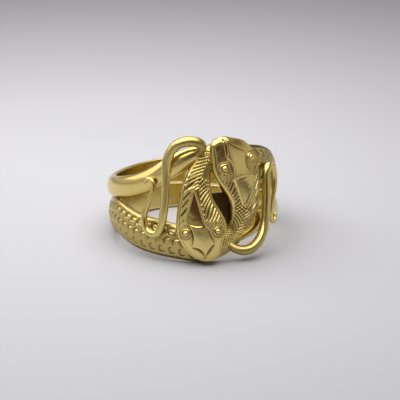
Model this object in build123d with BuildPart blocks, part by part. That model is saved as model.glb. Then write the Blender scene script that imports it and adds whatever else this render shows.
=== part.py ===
from build123d import *
from collections import namedtuple
from math import cos, degrees, radians, sin, sqrt
import os

# A finger ring of two interlaced snakes, in millimetres. The frame's origin is the centre of
# the finger hole. The ring lies on its side as it rests by itself: the bezel faces -Y and is
# the higher end, so the finger's axis leans back from +Z by REST_TILT.

FINGER_DIAMETER = 17.8
BAND_WALL = 1.15
BODY_WIDTH = 4.2
BEZEL_LENGTH = 14.2
HEAD_LENGTH = 9.6
HEAD_WIDTH = 5.7
HEAD_THICKNESS = 1.3
WIRE_DIAMETER = 1.05
RELIEF_HEIGHT = 0.12
EYE_DIAMETER = 0.75
BROW_DIAMETER = 1.15
BROW_WIRE = 0.22
SNAKE_CLEARANCE = 0.1
REST_TILT = 12.0

BORE_RADIUS = FINGER_DIAMETER / 2
OUTER_RADIUS = BORE_RADIUS + BAND_WALL
# The headings of the tables are read on the face of the heads, at this radius
FACE_RADIUS = OUTER_RADIUS + HEAD_THICKNESS / 2
BORE_CUT_MARGIN = 0.3
# An underside square to the axis is this much short of flat, so that it stays an arc
FLAT_RISE = 0.001
BODY_DOME = 0.5

REST = Plane(
    origin=(0, 0, 0),
    x_dir=(1, 0, 0),
    z_dir=(0, sin(radians(REST_TILT)), cos(radians(REST_TILT))),
)

# Head and neck from the snout: across and height place the middle of the section, across as
# a share of HEAD_WIDTH round the face and height as a share of BEZEL_LENGTH; heading is the
# snake's own direction there, in degrees up from the way round; width is a share of
# HEAD_WIDTH; rise is the crown over the band's outer face and dome the rounded part of that
# height, as shares of HEAD_THICKNESS; drop is how far the underside reaches down to the
# finger, as a share of the way.
HeadRow = namedtuple("HeadRow", "across height heading width rise dome drop")
UPPER_HEAD = [
    HeadRow(-0.325, -0.470, 90, 0.20, 0.55, 0.20, 0.00),
    HeadRow(-0.333, -0.438, 92, 0.46, 0.75, 0.30, 0.00),
    HeadRow(-0.372, -0.364, 95, 0.74, 0.92, 0.36, 0.00),
    HeadRow(-0.400, -0.258, 92, 0.96, 1.00, 0.38, 0.00),
    HeadRow(-0.412, -0.145, 90, 0.98, 1.02, 0.38, 0.00),
    HeadRow(-0.472, -0.020, 94, 0.77, 1.00, 0.38, 0.15),
    HeadRow(-0.472, 0.112, 82, 0.59, 0.90, 0.38, 0.45),
    HeadRow(-0.400, 0.202, 66, 0.50, 0.68, 0.40, 0.75),
    HeadRow(-0.290, 0.284, 54, 0.43, 0.22, 0.45, 1.00),
    HeadRow(-0.122, 0.352, 36, 0.41, 0.01, 0.48, 1.00),
    HeadRow(0.070, 0.382, 4, 0.43, 0.00, 0.45, 1.00),
    HeadRow(0.300, 0.366, -16, 0.52, 0.00, 0.42, 1.00),
]
LOWER_HEAD = [
    HeadRow(0.092, 0.516, 276, 0.20, 0.55, 0.20, 0.00),
    HeadRow(0.130, 0.484, 280, 0.46, 0.75, 0.30, 0.00),
    HeadRow(0.234, 0.422, 290, 0.74, 0.92, 0.36, 0.00),
    HeadRow(0.354, 0.326, 289, 0.96, 1.00, 0.38, 0.00),
    HeadRow(0.452, 0.220, 285, 0.98, 1.02, 0.38, 0.00),
    HeadRow(0.545, 0.099, 281, 0.84, 1.00, 0.38, 0.15),
    HeadRow(0.585, -0.032, 269, 0.69, 0.90, 0.38, 0.45),
    HeadRow(0.550, -0.126, 255, 0.60, 0.68, 0.40, 0.75),
    HeadRow(0.480, -0.215, 240, 0.50, 0.24, 0.45, 1.00),
    HeadRow(0.330, -0.300, 222, 0.44, 0.01, 0.48, 1.00),
    HeadRow(0.130, -0.350, 200, 0.43, 0.00, 0.45, 1.00),
    HeadRow(-0.100, -0.364, 180, 0.52, 0.00, 0.42, 1.00),
]

# Shank behind the finger, where the two bodies lie side by side: turn is in degrees from the
# bezel by +X, seam is the height of their seam as a share of BEZEL_LENGTH, and the widths are
# shares of BODY_WIDTH.
ShankRow = namedtuple("ShankRow", "turn seam upper_width lower_width")
SHANK = [
    ShankRow(88, -0.055, 1.00, 0.58),
    ShankRow(96, -0.064, 0.97, 0.57),
    ShankRow(105, -0.072, 0.93, 0.56),
    ShankRow(120, -0.076, 0.88, 0.56),
    ShankRow(135, -0.058, 0.82, 0.57),
    ShankRow(150, -0.034, 0.77, 0.60),
    ShankRow(165, -0.012, 0.74, 0.65),
    ShankRow(180, 0.002, 0.72, 0.71),
    ShankRow(200, 0.008, 0.67, 0.74),
    ShankRow(220, 0.005, 0.62, 0.80),
    ShankRow(240, 0.000, 0.59, 0.87),
    ShankRow(255, 0.003, 0.58, 0.93),
    ShankRow(264, 0.010, 0.58, 0.96),
    ShankRow(272, 0.018, 0.58, 0.99),
]

# Shoulder between neck and shank, and plain stretch between shank and wire tail: turn is in
# degrees from the bezel the way the snake goes round, edge is the height of the edge that
# faces the other snake as a share of BEZEL_LENGTH, and width is a share of BODY_WIDTH.
BodyRow = namedtuple("BodyRow", "turn edge width")
UPPER_SHOULDER = [
    BodyRow(30, 0.130, 0.95),
    BodyRow(42, 0.085, 1.02),
    BodyRow(55, 0.035, 1.04),
    BodyRow(68, -0.010, 1.04),
    BodyRow(80, -0.042, 1.02),
]
UPPER_TAIL = [
    BodyRow(280, 0.030, 0.57),
    BodyRow(290, 0.044, 0.57),
    BodyRow(305, 0.082, 0.56),
    BodyRow(318, 0.134, 0.60),
    BodyRow(330, 0.200, 0.64),
    BodyRow(340, 0.262, 0.58),
    BodyRow(346, 0.310, 0.47),
    BodyRow(351, 0.350, 0.34),
]
LOWER_SHOULDER = [
    BodyRow(30, -0.165, 0.95),
    BodyRow(42, -0.127, 0.99),
    BodyRow(55, -0.096, 0.98),
    BodyRow(68, -0.046, 1.00),
    BodyRow(80, 0.002, 1.00),
]
LOWER_TAIL = [
    BodyRow(280, -0.066, 0.56),
    BodyRow(290, -0.078, 0.55),
    BodyRow(305, -0.095, 0.54),
    BodyRow(318, -0.102, 0.58),
    BodyRow(330, -0.114, 0.67),
    BodyRow(340, -0.142, 0.66),
    BodyRow(346, -0.180, 0.59),
    BodyRow(351, -0.235, 0.46),
]

# Wire tail: across and height place its centre as in the head's tables, lift is how far its
# underside lies over the band's outer face as a share of WIRE_DIAMETER, and size is its
# diameter as a share of WIRE_DIAMETER.
WireRow = namedtuple("WireRow", "across height lift size")
UPPER_WIRE = [
    WireRow(-0.410, 0.384, -0.75, 0.75),
    WireRow(-0.325, 0.415, -0.45, 0.95),
    WireRow(-0.305, 0.458, -0.08, 1.08),
    WireRow(-0.420, 0.493, 0.12, 1.10),
    WireRow(-0.610, 0.502, 0.20, 1.10),
    WireRow(-0.805, 0.476, 0.20, 1.08),
    WireRow(-0.955, 0.405, 0.15, 1.05),
    WireRow(-1.040, 0.308, 0.10, 1.02),
    WireRow(-1.070, 0.195, 0.10, 1.00),
    WireRow(-1.105, 0.050, 0.15, 0.96),
    WireRow(-1.160, -0.080, 0.20, 0.92),
    WireRow(-1.238, -0.175, 0.20, 0.88),
    WireRow(-1.350, -0.228, 0.20, 0.85),
    WireRow(-1.490, -0.220, 0.20, 0.82),
    WireRow(-1.590, -0.160, 0.20, 0.78),
    WireRow(-1.590, -0.080, 0.20, 0.72),
    WireRow(-1.505, 0.005, 0.18, 0.66),
    WireRow(-1.405, 0.085, 0.12, 0.60),
    WireRow(-1.355, 0.150, 0.08, 0.54),
    WireRow(-1.395, 0.200, 0.08, 0.48),
    WireRow(-1.490, 0.212, 0.08, 0.42),
    WireRow(-1.570, 0.182, 0.08, 0.36),
]
LOWER_WIRE = [
    WireRow(0.210, -0.358, -0.95, 0.90),
    WireRow(0.315, -0.395, -0.48, 0.98),
    WireRow(0.445, -0.414, -0.08, 1.07),
    WireRow(0.620, -0.405, 0.14, 1.10),
    WireRow(0.820, -0.354, 0.20, 1.08),
    WireRow(0.965, -0.285, 0.18, 1.05),
    WireRow(1.062, -0.185, 0.16, 1.02),
    WireRow(1.120, -0.075, 0.16, 1.00),
    WireRow(1.150, 0.040, 0.20, 0.98),
    WireRow(1.180, 0.150, 0.20, 0.94),
    WireRow(1.260, 0.222, 0.20, 0.90),
    WireRow(1.385, 0.225, 0.20, 0.86),
    WireRow(1.490, 0.165, 0.20, 0.80),
    WireRow(1.510, 0.080, 0.20, 0.74),
    WireRow(1.450, -0.010, 0.18, 0.68),
    WireRow(1.375, -0.095, 0.12, 0.62),
    WireRow(1.355, -0.175, 0.08, 0.56),
    WireRow(1.420, -0.235, 0.08, 0.50),
    WireRow(1.530, -0.240, 0.08, 0.44),
    WireRow(1.610, -0.190, 0.08, 0.38),
]


# Raised plate on the crown of a head, whose hollow sides go round the eyes and the cheeks:
# x is a share of HEAD_WIDTH away from the other head, and y is a share of HEAD_LENGTH towards
# the snout, both from the middle of the head's widest section.
FacePoint = namedtuple("FacePoint", "x y")
PLATE_NAPE = FacePoint(-0.02, -0.43)
PLATE_TIP = FacePoint(-0.04, 0.44)
PLATE_BROWS = [FacePoint(-0.21, 0.02), FacePoint(0.24, 0.02)]
PLATE_ROUND_EYES = [FacePoint(-0.13, 0.14), FacePoint(0.15, 0.14)]
PLATE_CHEEKS = [FacePoint(-0.28, 0.25), FacePoint(0.20, 0.25)]
PLATE_ROUND_CHEEKS = [FacePoint(-0.125, 0.32), FacePoint(0.06, 0.32)]
EYES = [FacePoint(-0.32, 0.12), FacePoint(0.32, 0.12)]
# The plate's root and the eyes' seats over the band's outer face, as shares of HEAD_THICKNESS,
# and the way that the head's side falls away under an eye, in degrees
PLATE_ROOT = 0.3
EYE_SEAT = 0.72
EYE_LEAN = 20
# The lower snake's web behind the gap between the heads: its sides as across in the head's
# tables, its edges as shares of BEZEL_LENGTH, and its thickness as a share of BAND_WALL
WEB_SIDES = (-0.18, 0.42)
WEB_EDGES = (-0.320, 0.062)
WEB_THICKNESS = 0.52
# Rows of the head's table before its widest section, and rows that carry the plate
SNOUT_ROWS = 4
PLATE_ROWS = 10


def across_angle(across):
    return degrees(across * HEAD_WIDTH / FACE_RADIUS)


def laid(plane):
    """A plane of the upright ring, leaned as the ring rests"""
    return Plane(REST.location * plane.location)


def section_plane(angle, height, heading):
    """Plane square to a snake's way on the ring: local X runs across it, Y out from the axis"""
    out = Vector(sin(radians(angle)), -cos(radians(angle)), 0)
    round_way = Vector(cos(radians(angle)), sin(radians(angle)), 0)
    ahead = round_way * cos(radians(heading)) + Vector(0, 0, 1) * sin(radians(heading))
    return laid(Plane(origin=(0, 0, height), x_dir=out.cross(ahead), z_dir=ahead))


def domed_section(plane, width, crown, dome, base, heading):
    """D-shaped section, domed above, with crown and base measured from the axis. Its underside
    bends round the finger as far as the heading turns the section across it."""
    half = width / 2
    fall = base - sqrt(base**2 - (half * sin(radians(heading))) ** 2)
    shoulder = crown - dome - fall
    with BuildSketch(plane) as sketch:
        with BuildLine():
            Line((-half, shoulder), (-half, base - fall))
            ThreePointArc((-half, base - fall), (0, base + FLAT_RISE), (half, base - fall))
            Line((half, base - fall), (half, shoulder))
            ThreePointArc((half, shoulder), (0, crown), (-half, shoulder))
        make_face()
    return sketch.sketch


def head_sections(rows, extra=0):
    """Sections from the snout to the neck, with the crown raised by extra"""
    return [
        domed_section(
            section_plane(across_angle(row.across), row.height * BEZEL_LENGTH, row.heading),
            row.width * HEAD_WIDTH,
            OUTER_RADIUS + row.rise * HEAD_THICKNESS + extra,
            row.dome * HEAD_THICKNESS,
            OUTER_RADIUS + SNAKE_CLEARANCE - row.drop * (BAND_WALL + SNAKE_CLEARANCE + BORE_CUT_MARGIN),
            row.heading,
        )
        for row in rows
    ]


def body_sections(rows, way, dome):
    """Sections in half-planes through the axis. way is 1 for the snake that goes round by +X,
    whose body lies over its inner edge, and -1 for the one that goes round by -X, under it."""
    heading = 0 if way > 0 else 180
    sections = []
    for row in rows:
        width = row.width * BODY_WIDTH
        middle = row.edge * BEZEL_LENGTH + way * (SNAKE_CLEARANCE / 2 + width / 2)
        plane = section_plane(way * row.turn, middle, heading)
        base = BORE_RADIUS - BORE_CUT_MARGIN
        height = min(dome, width / 2)
        sections.append(domed_section(plane, width, OUTER_RADIUS, height, base, heading))
    return sections


def wire_sections(rows):
    """Round sections square to the wire's way, which is read from the rows beside each row"""
    places = []
    for row in rows:
        radius = OUTER_RADIUS + row.lift * WIRE_DIAMETER + row.size * WIRE_DIAMETER / 2
        angle = row.across * HEAD_WIDTH / FACE_RADIUS
        places.append(Vector(radius * sin(angle), -radius * cos(angle), row.height * BEZEL_LENGTH))
    sections = []
    for index, row in enumerate(rows):
        before = places[max(index - 1, 0)]
        after = places[min(index + 1, len(rows) - 1)]
        out = Vector(places[index].X, places[index].Y, 0)
        ahead = after - before
        plane = laid(Plane(origin=places[index], x_dir=out.cross(ahead), z_dir=ahead))
        with BuildSketch(plane) as sketch:
            Circle(row.size * WIRE_DIAMETER / 2)
        sections.append(sketch.sketch)
    return sections


def face_plane(rows):
    """Plane through the axis behind a head: local Y runs to the snout and Z out of the face"""
    row = rows[SNOUT_ROWS]
    section = section_plane(across_angle(row.across), row.height * BEZEL_LENGTH, row.heading)
    return Plane(origin=section.origin, x_dir=section.x_dir, z_dir=section.y_dir)


def on_face(point):
    return point.x * HEAD_WIDTH, point.y * HEAD_LENGTH


def crown_plate(rows):
    """The raised plate, which follows the dome of the head"""
    nape, tip = on_face(PLATE_NAPE), on_face(PLATE_TIP)
    with BuildPart() as plate:
        loft(head_sections(rows[:PLATE_ROWS], RELIEF_HEIGHT))
        with BuildSketch(face_plane(rows).offset(OUTER_RADIUS + PLATE_ROOT * HEAD_THICKNESS)):
            with BuildLine():
                for brow, round_eye, cheek, round_cheek in zip(
                    PLATE_BROWS, PLATE_ROUND_EYES, PLATE_CHEEKS, PLATE_ROUND_CHEEKS
                ):
                    Line(nape, on_face(brow))
                    ThreePointArc(on_face(brow), on_face(round_eye), on_face(cheek))
                    ThreePointArc(on_face(cheek), on_face(round_cheek), tip)
            make_face()
        extrude(amount=2 * HEAD_THICKNESS, mode=Mode.INTERSECT)
    return plate.part


def finger_hole_web():
    """Curved web against the finger, which closes the gap between the heads from behind"""
    low, high = WEB_EDGES
    first, last = WEB_SIDES
    angles = [across_angle(first), across_angle((first + last) / 2), across_angle(last)]
    inner = BORE_RADIUS - BORE_CUT_MARGIN
    outer = BORE_RADIUS + WEB_THICKNESS * BAND_WALL

    def corner(radius, angle):
        return radius * sin(radians(angle)), -radius * cos(radians(angle))

    plane = laid(Plane(origin=(0, 0, low * BEZEL_LENGTH), x_dir=(1, 0, 0), z_dir=(0, 0, 1)))
    with BuildPart() as web:
        with BuildSketch(plane):
            with BuildLine():
                ThreePointArc(*[corner(outer, angle) for angle in angles])
                Line(corner(outer, angles[2]), corner(inner, angles[2]))
                ThreePointArc(*[corner(inner, angle) for angle in reversed(angles)])
                Line(corner(inner, angles[0]), corner(outer, angles[0]))
            make_face()
        extrude(amount=(high - low) * BEZEL_LENGTH)
    return web.part


def eye_planes(rows):
    """Planes on the seats of the eyes, leaned as the head's sides fall away"""
    face = face_plane(rows)
    planes = []
    for eye in EYES:
        lean = EYE_LEAN if eye.x > 0 else -EYE_LEAN
        x, y = on_face(eye)
        seat = face.from_local_coords(Vector(x, y, OUTER_RADIUS + EYE_SEAT * HEAD_THICKNESS))
        out = face.z_dir * cos(radians(lean)) + face.x_dir * sin(radians(lean))
        planes.append(Plane(origin=seat, x_dir=face.y_dir, z_dir=out))
    return planes


UPPER_SHANK = [BodyRow(row.turn, row.seam, row.upper_width) for row in SHANK]
LOWER_SHANK = [BodyRow(360 - row.turn, row.seam, row.lower_width) for row in reversed(SHANK)]

with BuildPart() as upper_snake:
    loft(head_sections(UPPER_HEAD) + body_sections(UPPER_SHOULDER + UPPER_SHANK, 1, BODY_DOME))
    loft(body_sections(UPPER_SHANK[-1:] + UPPER_TAIL, 1, BODY_DOME))
    loft(wire_sections(UPPER_WIRE))
    add(crown_plate(UPPER_HEAD))
    with Locations(*eye_planes(UPPER_HEAD)):
        Sphere(EYE_DIAMETER / 2)
        Torus((BROW_DIAMETER - BROW_WIRE) / 2, BROW_WIRE / 2)
    with BuildSketch(REST):
        Circle(BORE_RADIUS)
    extrude(amount=BEZEL_LENGTH, both=True, mode=Mode.SUBTRACT)

with BuildPart() as lower_snake:
    loft(head_sections(LOWER_HEAD) + body_sections(LOWER_SHOULDER + LOWER_SHANK, -1, BODY_DOME))
    loft(body_sections(LOWER_SHANK[-1:] + LOWER_TAIL, -1, BODY_DOME))
    loft(wire_sections(LOWER_WIRE))
    add(finger_hole_web())
    add(crown_plate(LOWER_HEAD))
    with Locations(*eye_planes(LOWER_HEAD)):
        Sphere(EYE_DIAMETER / 2)
        Torus((BROW_DIAMETER - BROW_WIRE) / 2, BROW_WIRE / 2)
    with BuildSketch(REST):
        Circle(BORE_RADIUS)
    extrude(amount=BEZEL_LENGTH, both=True, mode=Mode.SUBTRACT)

upper_snake.part.label = "upper_snake"
lower_snake.part.label = "lower_snake"

os.makedirs("parts", exist_ok=True)
export_step(upper_snake.part, "parts/upper_snake.step")
export_step(lower_snake.part, "parts/lower_snake.step")
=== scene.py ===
import math
from collections import namedtuple

import bpy
import numpy as np
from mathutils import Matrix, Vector


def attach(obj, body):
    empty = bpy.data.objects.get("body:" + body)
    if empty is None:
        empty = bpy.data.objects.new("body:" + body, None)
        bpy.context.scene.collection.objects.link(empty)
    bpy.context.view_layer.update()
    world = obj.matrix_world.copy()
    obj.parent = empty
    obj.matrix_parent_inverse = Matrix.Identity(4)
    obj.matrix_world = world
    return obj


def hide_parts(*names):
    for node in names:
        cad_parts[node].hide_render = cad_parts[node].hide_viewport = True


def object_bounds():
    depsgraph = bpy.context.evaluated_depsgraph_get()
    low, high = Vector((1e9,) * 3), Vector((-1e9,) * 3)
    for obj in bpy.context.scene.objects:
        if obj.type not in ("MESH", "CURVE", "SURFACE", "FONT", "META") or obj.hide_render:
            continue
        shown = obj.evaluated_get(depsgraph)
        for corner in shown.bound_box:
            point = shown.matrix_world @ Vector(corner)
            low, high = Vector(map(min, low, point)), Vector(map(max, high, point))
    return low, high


# A finger ring of two interlaced gold snakes. Each snake is one mesh that follows the sections
# of its solid, with the engraving cut into its surface. Sizes are in millimetres until the
# mesh is made, which is in metres, and so are the camera, the floor and the lights.

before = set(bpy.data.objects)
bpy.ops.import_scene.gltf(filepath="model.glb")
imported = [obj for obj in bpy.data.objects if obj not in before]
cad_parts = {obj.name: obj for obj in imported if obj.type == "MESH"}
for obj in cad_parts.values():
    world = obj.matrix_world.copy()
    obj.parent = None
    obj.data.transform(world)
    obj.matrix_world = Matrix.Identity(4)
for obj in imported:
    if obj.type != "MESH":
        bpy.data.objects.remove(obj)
cad_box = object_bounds()

MM = 0.001

BORE_RADIUS = 8.9
BAND_WALL = 1.15
OUTER_RADIUS = BORE_RADIUS + BAND_WALL
BODY_WIDTH = 4.2
BEZEL_LENGTH = 14.2
HEAD_LENGTH = 9.6
HEAD_WIDTH = 5.7
HEAD_THICKNESS = 1.3
WIRE_DIAMETER = 1.05
RELIEF_HEIGHT = 0.12
EYE_DIAMETER = 0.75
BROW_DIAMETER = 1.15
BROW_WIRE = 0.22
SNAKE_CLEARANCE = 0.1
BORE_CUT_MARGIN = 0.3
REST_TILT = math.radians(12)
FACE_RADIUS = OUTER_RADIUS + HEAD_THICKNESS / 2
BODY_DOME = 0.5
# The row of a head's table that its eyes and its face are placed from, its widest
WIDEST_ROW = 4
EYE_SEAT = 0.72
EYE_LEAN = math.radians(20)
EYE_ACROSS = 0.32 * HEAD_WIDTH
EYE_AHEAD = 0.12 * HEAD_LENGTH
EYE_PLACES = [(-EYE_ACROSS, EYE_AHEAD), (EYE_ACROSS, EYE_AHEAD)]

# Rows of the strands: the same sections as the solids have. Heading and turn are degrees. Across
# is a share of HEAD_WIDTH round the face; height, seam and edge are shares of BEZEL_LENGTH;
# width, upper and lower are shares of HEAD_WIDTH on a head and of BODY_WIDTH on a body. Rise and
# dome are shares of HEAD_THICKNESS, and drop is how far the underside reaches down to the
# finger, as a share of the way.
HeadRow = namedtuple("HeadRow", "across height heading width rise dome drop")
ShankRow = namedtuple("ShankRow", "turn seam upper lower")
BodyRow = namedtuple("BodyRow", "turn edge width")
# Lift is the wire's height over the band and size its thickness, as shares of WIRE_DIAMETER
WireRow = namedtuple("WireRow", "across height lift size")

UPPER_HEAD = [
    HeadRow(-0.325, -0.470, 90, 0.20, 0.55, 0.20, 0.00),
    HeadRow(-0.333, -0.438, 92, 0.46, 0.75, 0.30, 0.00),
    HeadRow(-0.372, -0.364, 95, 0.74, 0.92, 0.36, 0.00),
    HeadRow(-0.400, -0.258, 92, 0.96, 1.00, 0.38, 0.00),
    HeadRow(-0.412, -0.145, 90, 0.98, 1.02, 0.38, 0.00),
    HeadRow(-0.472, -0.020, 94, 0.77, 1.00, 0.38, 0.15),
    HeadRow(-0.472, 0.112, 82, 0.59, 0.90, 0.38, 0.45),
    HeadRow(-0.400, 0.202, 66, 0.50, 0.68, 0.40, 0.75),
    HeadRow(-0.290, 0.284, 54, 0.43, 0.22, 0.45, 1.00),
    HeadRow(-0.122, 0.352, 36, 0.41, 0.01, 0.48, 1.00),
    HeadRow(0.070, 0.382, 4, 0.43, 0.00, 0.45, 1.00),
    HeadRow(0.300, 0.366, -16, 0.52, 0.00, 0.42, 1.00),
]
LOWER_HEAD = [
    HeadRow(0.092, 0.516, 276, 0.20, 0.55, 0.20, 0.00),
    HeadRow(0.130, 0.484, 280, 0.46, 0.75, 0.30, 0.00),
    HeadRow(0.234, 0.422, 290, 0.74, 0.92, 0.36, 0.00),
    HeadRow(0.354, 0.326, 289, 0.96, 1.00, 0.38, 0.00),
    HeadRow(0.452, 0.220, 285, 0.98, 1.02, 0.38, 0.00),
    HeadRow(0.545, 0.099, 281, 0.84, 1.00, 0.38, 0.15),
    HeadRow(0.585, -0.032, 269, 0.69, 0.90, 0.38, 0.45),
    HeadRow(0.550, -0.126, 255, 0.60, 0.68, 0.40, 0.75),
    HeadRow(0.480, -0.215, 240, 0.50, 0.24, 0.45, 1.00),
    HeadRow(0.330, -0.300, 222, 0.44, 0.01, 0.48, 1.00),
    HeadRow(0.130, -0.350, 200, 0.43, 0.00, 0.45, 1.00),
    HeadRow(-0.100, -0.364, 180, 0.52, 0.00, 0.42, 1.00),
]
SHANK = [
    ShankRow(88, -0.055, 1.00, 0.58),
    ShankRow(96, -0.064, 0.97, 0.57),
    ShankRow(105, -0.072, 0.93, 0.56),
    ShankRow(120, -0.076, 0.88, 0.56),
    ShankRow(135, -0.058, 0.82, 0.57),
    ShankRow(150, -0.034, 0.77, 0.60),
    ShankRow(165, -0.012, 0.74, 0.65),
    ShankRow(180, 0.002, 0.72, 0.71),
    ShankRow(200, 0.008, 0.67, 0.74),
    ShankRow(220, 0.005, 0.62, 0.80),
    ShankRow(240, 0.000, 0.59, 0.87),
    ShankRow(255, 0.003, 0.58, 0.93),
    ShankRow(264, 0.010, 0.58, 0.96),
    ShankRow(272, 0.018, 0.58, 0.99),
]
UPPER_SHOULDER = [
    BodyRow(30, 0.130, 0.95),
    BodyRow(42, 0.085, 1.02),
    BodyRow(55, 0.035, 1.04),
    BodyRow(68, -0.010, 1.04),
    BodyRow(80, -0.042, 1.02),
]
UPPER_TAIL = [
    BodyRow(280, 0.030, 0.57),
    BodyRow(290, 0.044, 0.57),
    BodyRow(305, 0.082, 0.56),
    BodyRow(318, 0.134, 0.60),
    BodyRow(330, 0.200, 0.64),
    BodyRow(340, 0.262, 0.58),
    BodyRow(346, 0.310, 0.47),
    BodyRow(351, 0.350, 0.34),
]
LOWER_SHOULDER = [
    BodyRow(30, -0.165, 0.95),
    BodyRow(42, -0.127, 0.99),
    BodyRow(55, -0.096, 0.98),
    BodyRow(68, -0.046, 1.00),
    BodyRow(80, 0.002, 1.00),
]
LOWER_TAIL = [
    BodyRow(280, -0.066, 0.56),
    BodyRow(290, -0.078, 0.55),
    BodyRow(305, -0.095, 0.54),
    BodyRow(318, -0.102, 0.58),
    BodyRow(330, -0.114, 0.67),
    BodyRow(340, -0.142, 0.66),
    BodyRow(346, -0.180, 0.59),
    BodyRow(351, -0.235, 0.46),
]
UPPER_SHANK = [BodyRow(row.turn, row.seam, row.upper) for row in SHANK]
LOWER_SHANK = [BodyRow(360 - row.turn, row.seam, row.lower) for row in reversed(SHANK)]
UPPER_WIRE = [
    WireRow(-0.410, 0.384, -0.75, 0.75),
    WireRow(-0.325, 0.415, -0.45, 0.95),
    WireRow(-0.305, 0.458, -0.08, 1.08),
    WireRow(-0.420, 0.493, 0.12, 1.10),
    WireRow(-0.610, 0.502, 0.20, 1.10),
    WireRow(-0.805, 0.476, 0.20, 1.08),
    WireRow(-0.955, 0.405, 0.15, 1.05),
    WireRow(-1.040, 0.308, 0.10, 1.02),
    WireRow(-1.070, 0.195, 0.10, 1.00),
    WireRow(-1.105, 0.050, 0.15, 0.96),
    WireRow(-1.160, -0.080, 0.20, 0.92),
    WireRow(-1.238, -0.175, 0.20, 0.88),
    WireRow(-1.350, -0.228, 0.20, 0.85),
    WireRow(-1.490, -0.220, 0.20, 0.82),
    WireRow(-1.590, -0.160, 0.20, 0.78),
    WireRow(-1.590, -0.080, 0.20, 0.72),
    WireRow(-1.505, 0.005, 0.18, 0.66),
    WireRow(-1.405, 0.085, 0.12, 0.60),
    WireRow(-1.355, 0.150, 0.08, 0.54),
    WireRow(-1.395, 0.200, 0.08, 0.48),
    WireRow(-1.490, 0.212, 0.08, 0.42),
    WireRow(-1.570, 0.182, 0.08, 0.36),
]
LOWER_WIRE = [
    WireRow(0.210, -0.358, -0.95, 0.90),
    WireRow(0.315, -0.395, -0.48, 0.98),
    WireRow(0.445, -0.414, -0.08, 1.07),
    WireRow(0.620, -0.405, 0.14, 1.10),
    WireRow(0.820, -0.354, 0.20, 1.08),
    WireRow(0.965, -0.285, 0.18, 1.05),
    WireRow(1.062, -0.185, 0.16, 1.02),
    WireRow(1.120, -0.075, 0.16, 1.00),
    WireRow(1.150, 0.040, 0.20, 0.98),
    WireRow(1.180, 0.150, 0.20, 0.94),
    WireRow(1.260, 0.222, 0.20, 0.90),
    WireRow(1.385, 0.225, 0.20, 0.86),
    WireRow(1.490, 0.165, 0.20, 0.80),
    WireRow(1.510, 0.080, 0.20, 0.74),
    WireRow(1.450, -0.010, 0.18, 0.68),
    WireRow(1.375, -0.095, 0.12, 0.62),
    WireRow(1.355, -0.175, 0.08, 0.56),
    WireRow(1.420, -0.235, 0.08, 0.50),
    WireRow(1.530, -0.240, 0.08, 0.44),
    WireRow(1.610, -0.190, 0.08, 0.38),
]

# Points of the engraving on each face, in mm from the middle of the head's widest section:
# x away from the other head, y towards the snout.
Face = namedtuple("Face", "nape brows round_eyes cheeks round_cheeks tip nostril")
UPPER_FACE = Face(
    nape=(0.55, -4.12),
    brows=((-0.40, 0.40), (1.77, -0.19)),
    round_eyes=((-0.66, 1.19), (0.97, 1.27)),
    cheeks=((-1.27, 2.50), (1.23, 2.76)),
    round_cheeks=((-0.60, 3.15), (0.36, 3.04)),
    tip=(-0.19, 4.01),
    nostril=(-0.16, 4.10),
)
LOWER_FACE = Face(
    nape=(-0.89, -4.00),
    brows=((-1.11, -0.32), (1.51, -1.20)),
    round_eyes=((-0.87, 0.93), (0.73, 0.86)),
    cheeks=((-1.12, 2.14), (1.18, 2.09)),
    round_cheeks=((-0.77, 3.37), (0.21, 2.89)),
    tip=(-0.68, 4.14),
    nostril=(-0.83, 4.20),
)

# The lower snake's web behind the gap between the heads: its sides as shares of HEAD_WIDTH round
# the face, its lower and upper edge as shares of BEZEL_LENGTH, and its thickness as a share of
# BAND_WALL
WEB_SIDES = (-0.18, 0.42)
WEB_EDGES = (-0.320, 0.062)
WEB_THICKNESS = 0.52

# A section's steps over the top and down each side, its places under the body as shares of
# the half width, and the size of its rounded edges
TOP = 88
SIDE = 3
UNDER_HALF = [1, 0.985, 0.96, 0.92, 0.8, 0.5, 0.17]
UNDER = np.array(UNDER_HALF + [-place for place in reversed(UNDER_HALF)])
TOP_EDGE = 0.2
UNDER_EDGE = 0.1

# Steps along a strand: fine on the engraved head and neck, wider on the scales and the rest
SNOUT_STEPS = [0.0, 0.012, 0.04, 0.08, 0.13, 0.19, 0.25]
FINE_FROM = 0.3
FINE_STEP = 0.055
SCALE_STEP = 0.1
PLAIN_STEP = 0.35
PLAIN_TO = 0.5
TIP_STEPS = [0.4, 0.3, 0.22, 0.15, 0.09, 0.04, 0.012, 0.0]
# Where the scales begin and end, and how long they take to fade there
SCALED_FROM = 15.5
SCALED_TO = 47.0
SCALES_RISE = 1.5
SCALES_FALL = 5


def rested(points):
    """From the upright ring to the ring as it lies."""
    x, y, z = points[..., 0], points[..., 1], points[..., 2]
    c, s = math.cos(REST_TILT), math.sin(REST_TILT)
    return np.stack([x, y * c + z * s, z * c - y * s], -1)


def directions(angle, heading):
    """Outward, across and ahead at a place on the upright ring."""
    out = np.array([math.sin(angle), -math.cos(angle), 0.0])
    round_way = np.array([math.cos(angle), math.sin(angle), 0.0])
    up = np.array([0.0, 0.0, 1.0])
    ahead = round_way * math.cos(heading) + up * math.sin(heading)
    return out, np.cross(out, ahead), ahead


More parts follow.
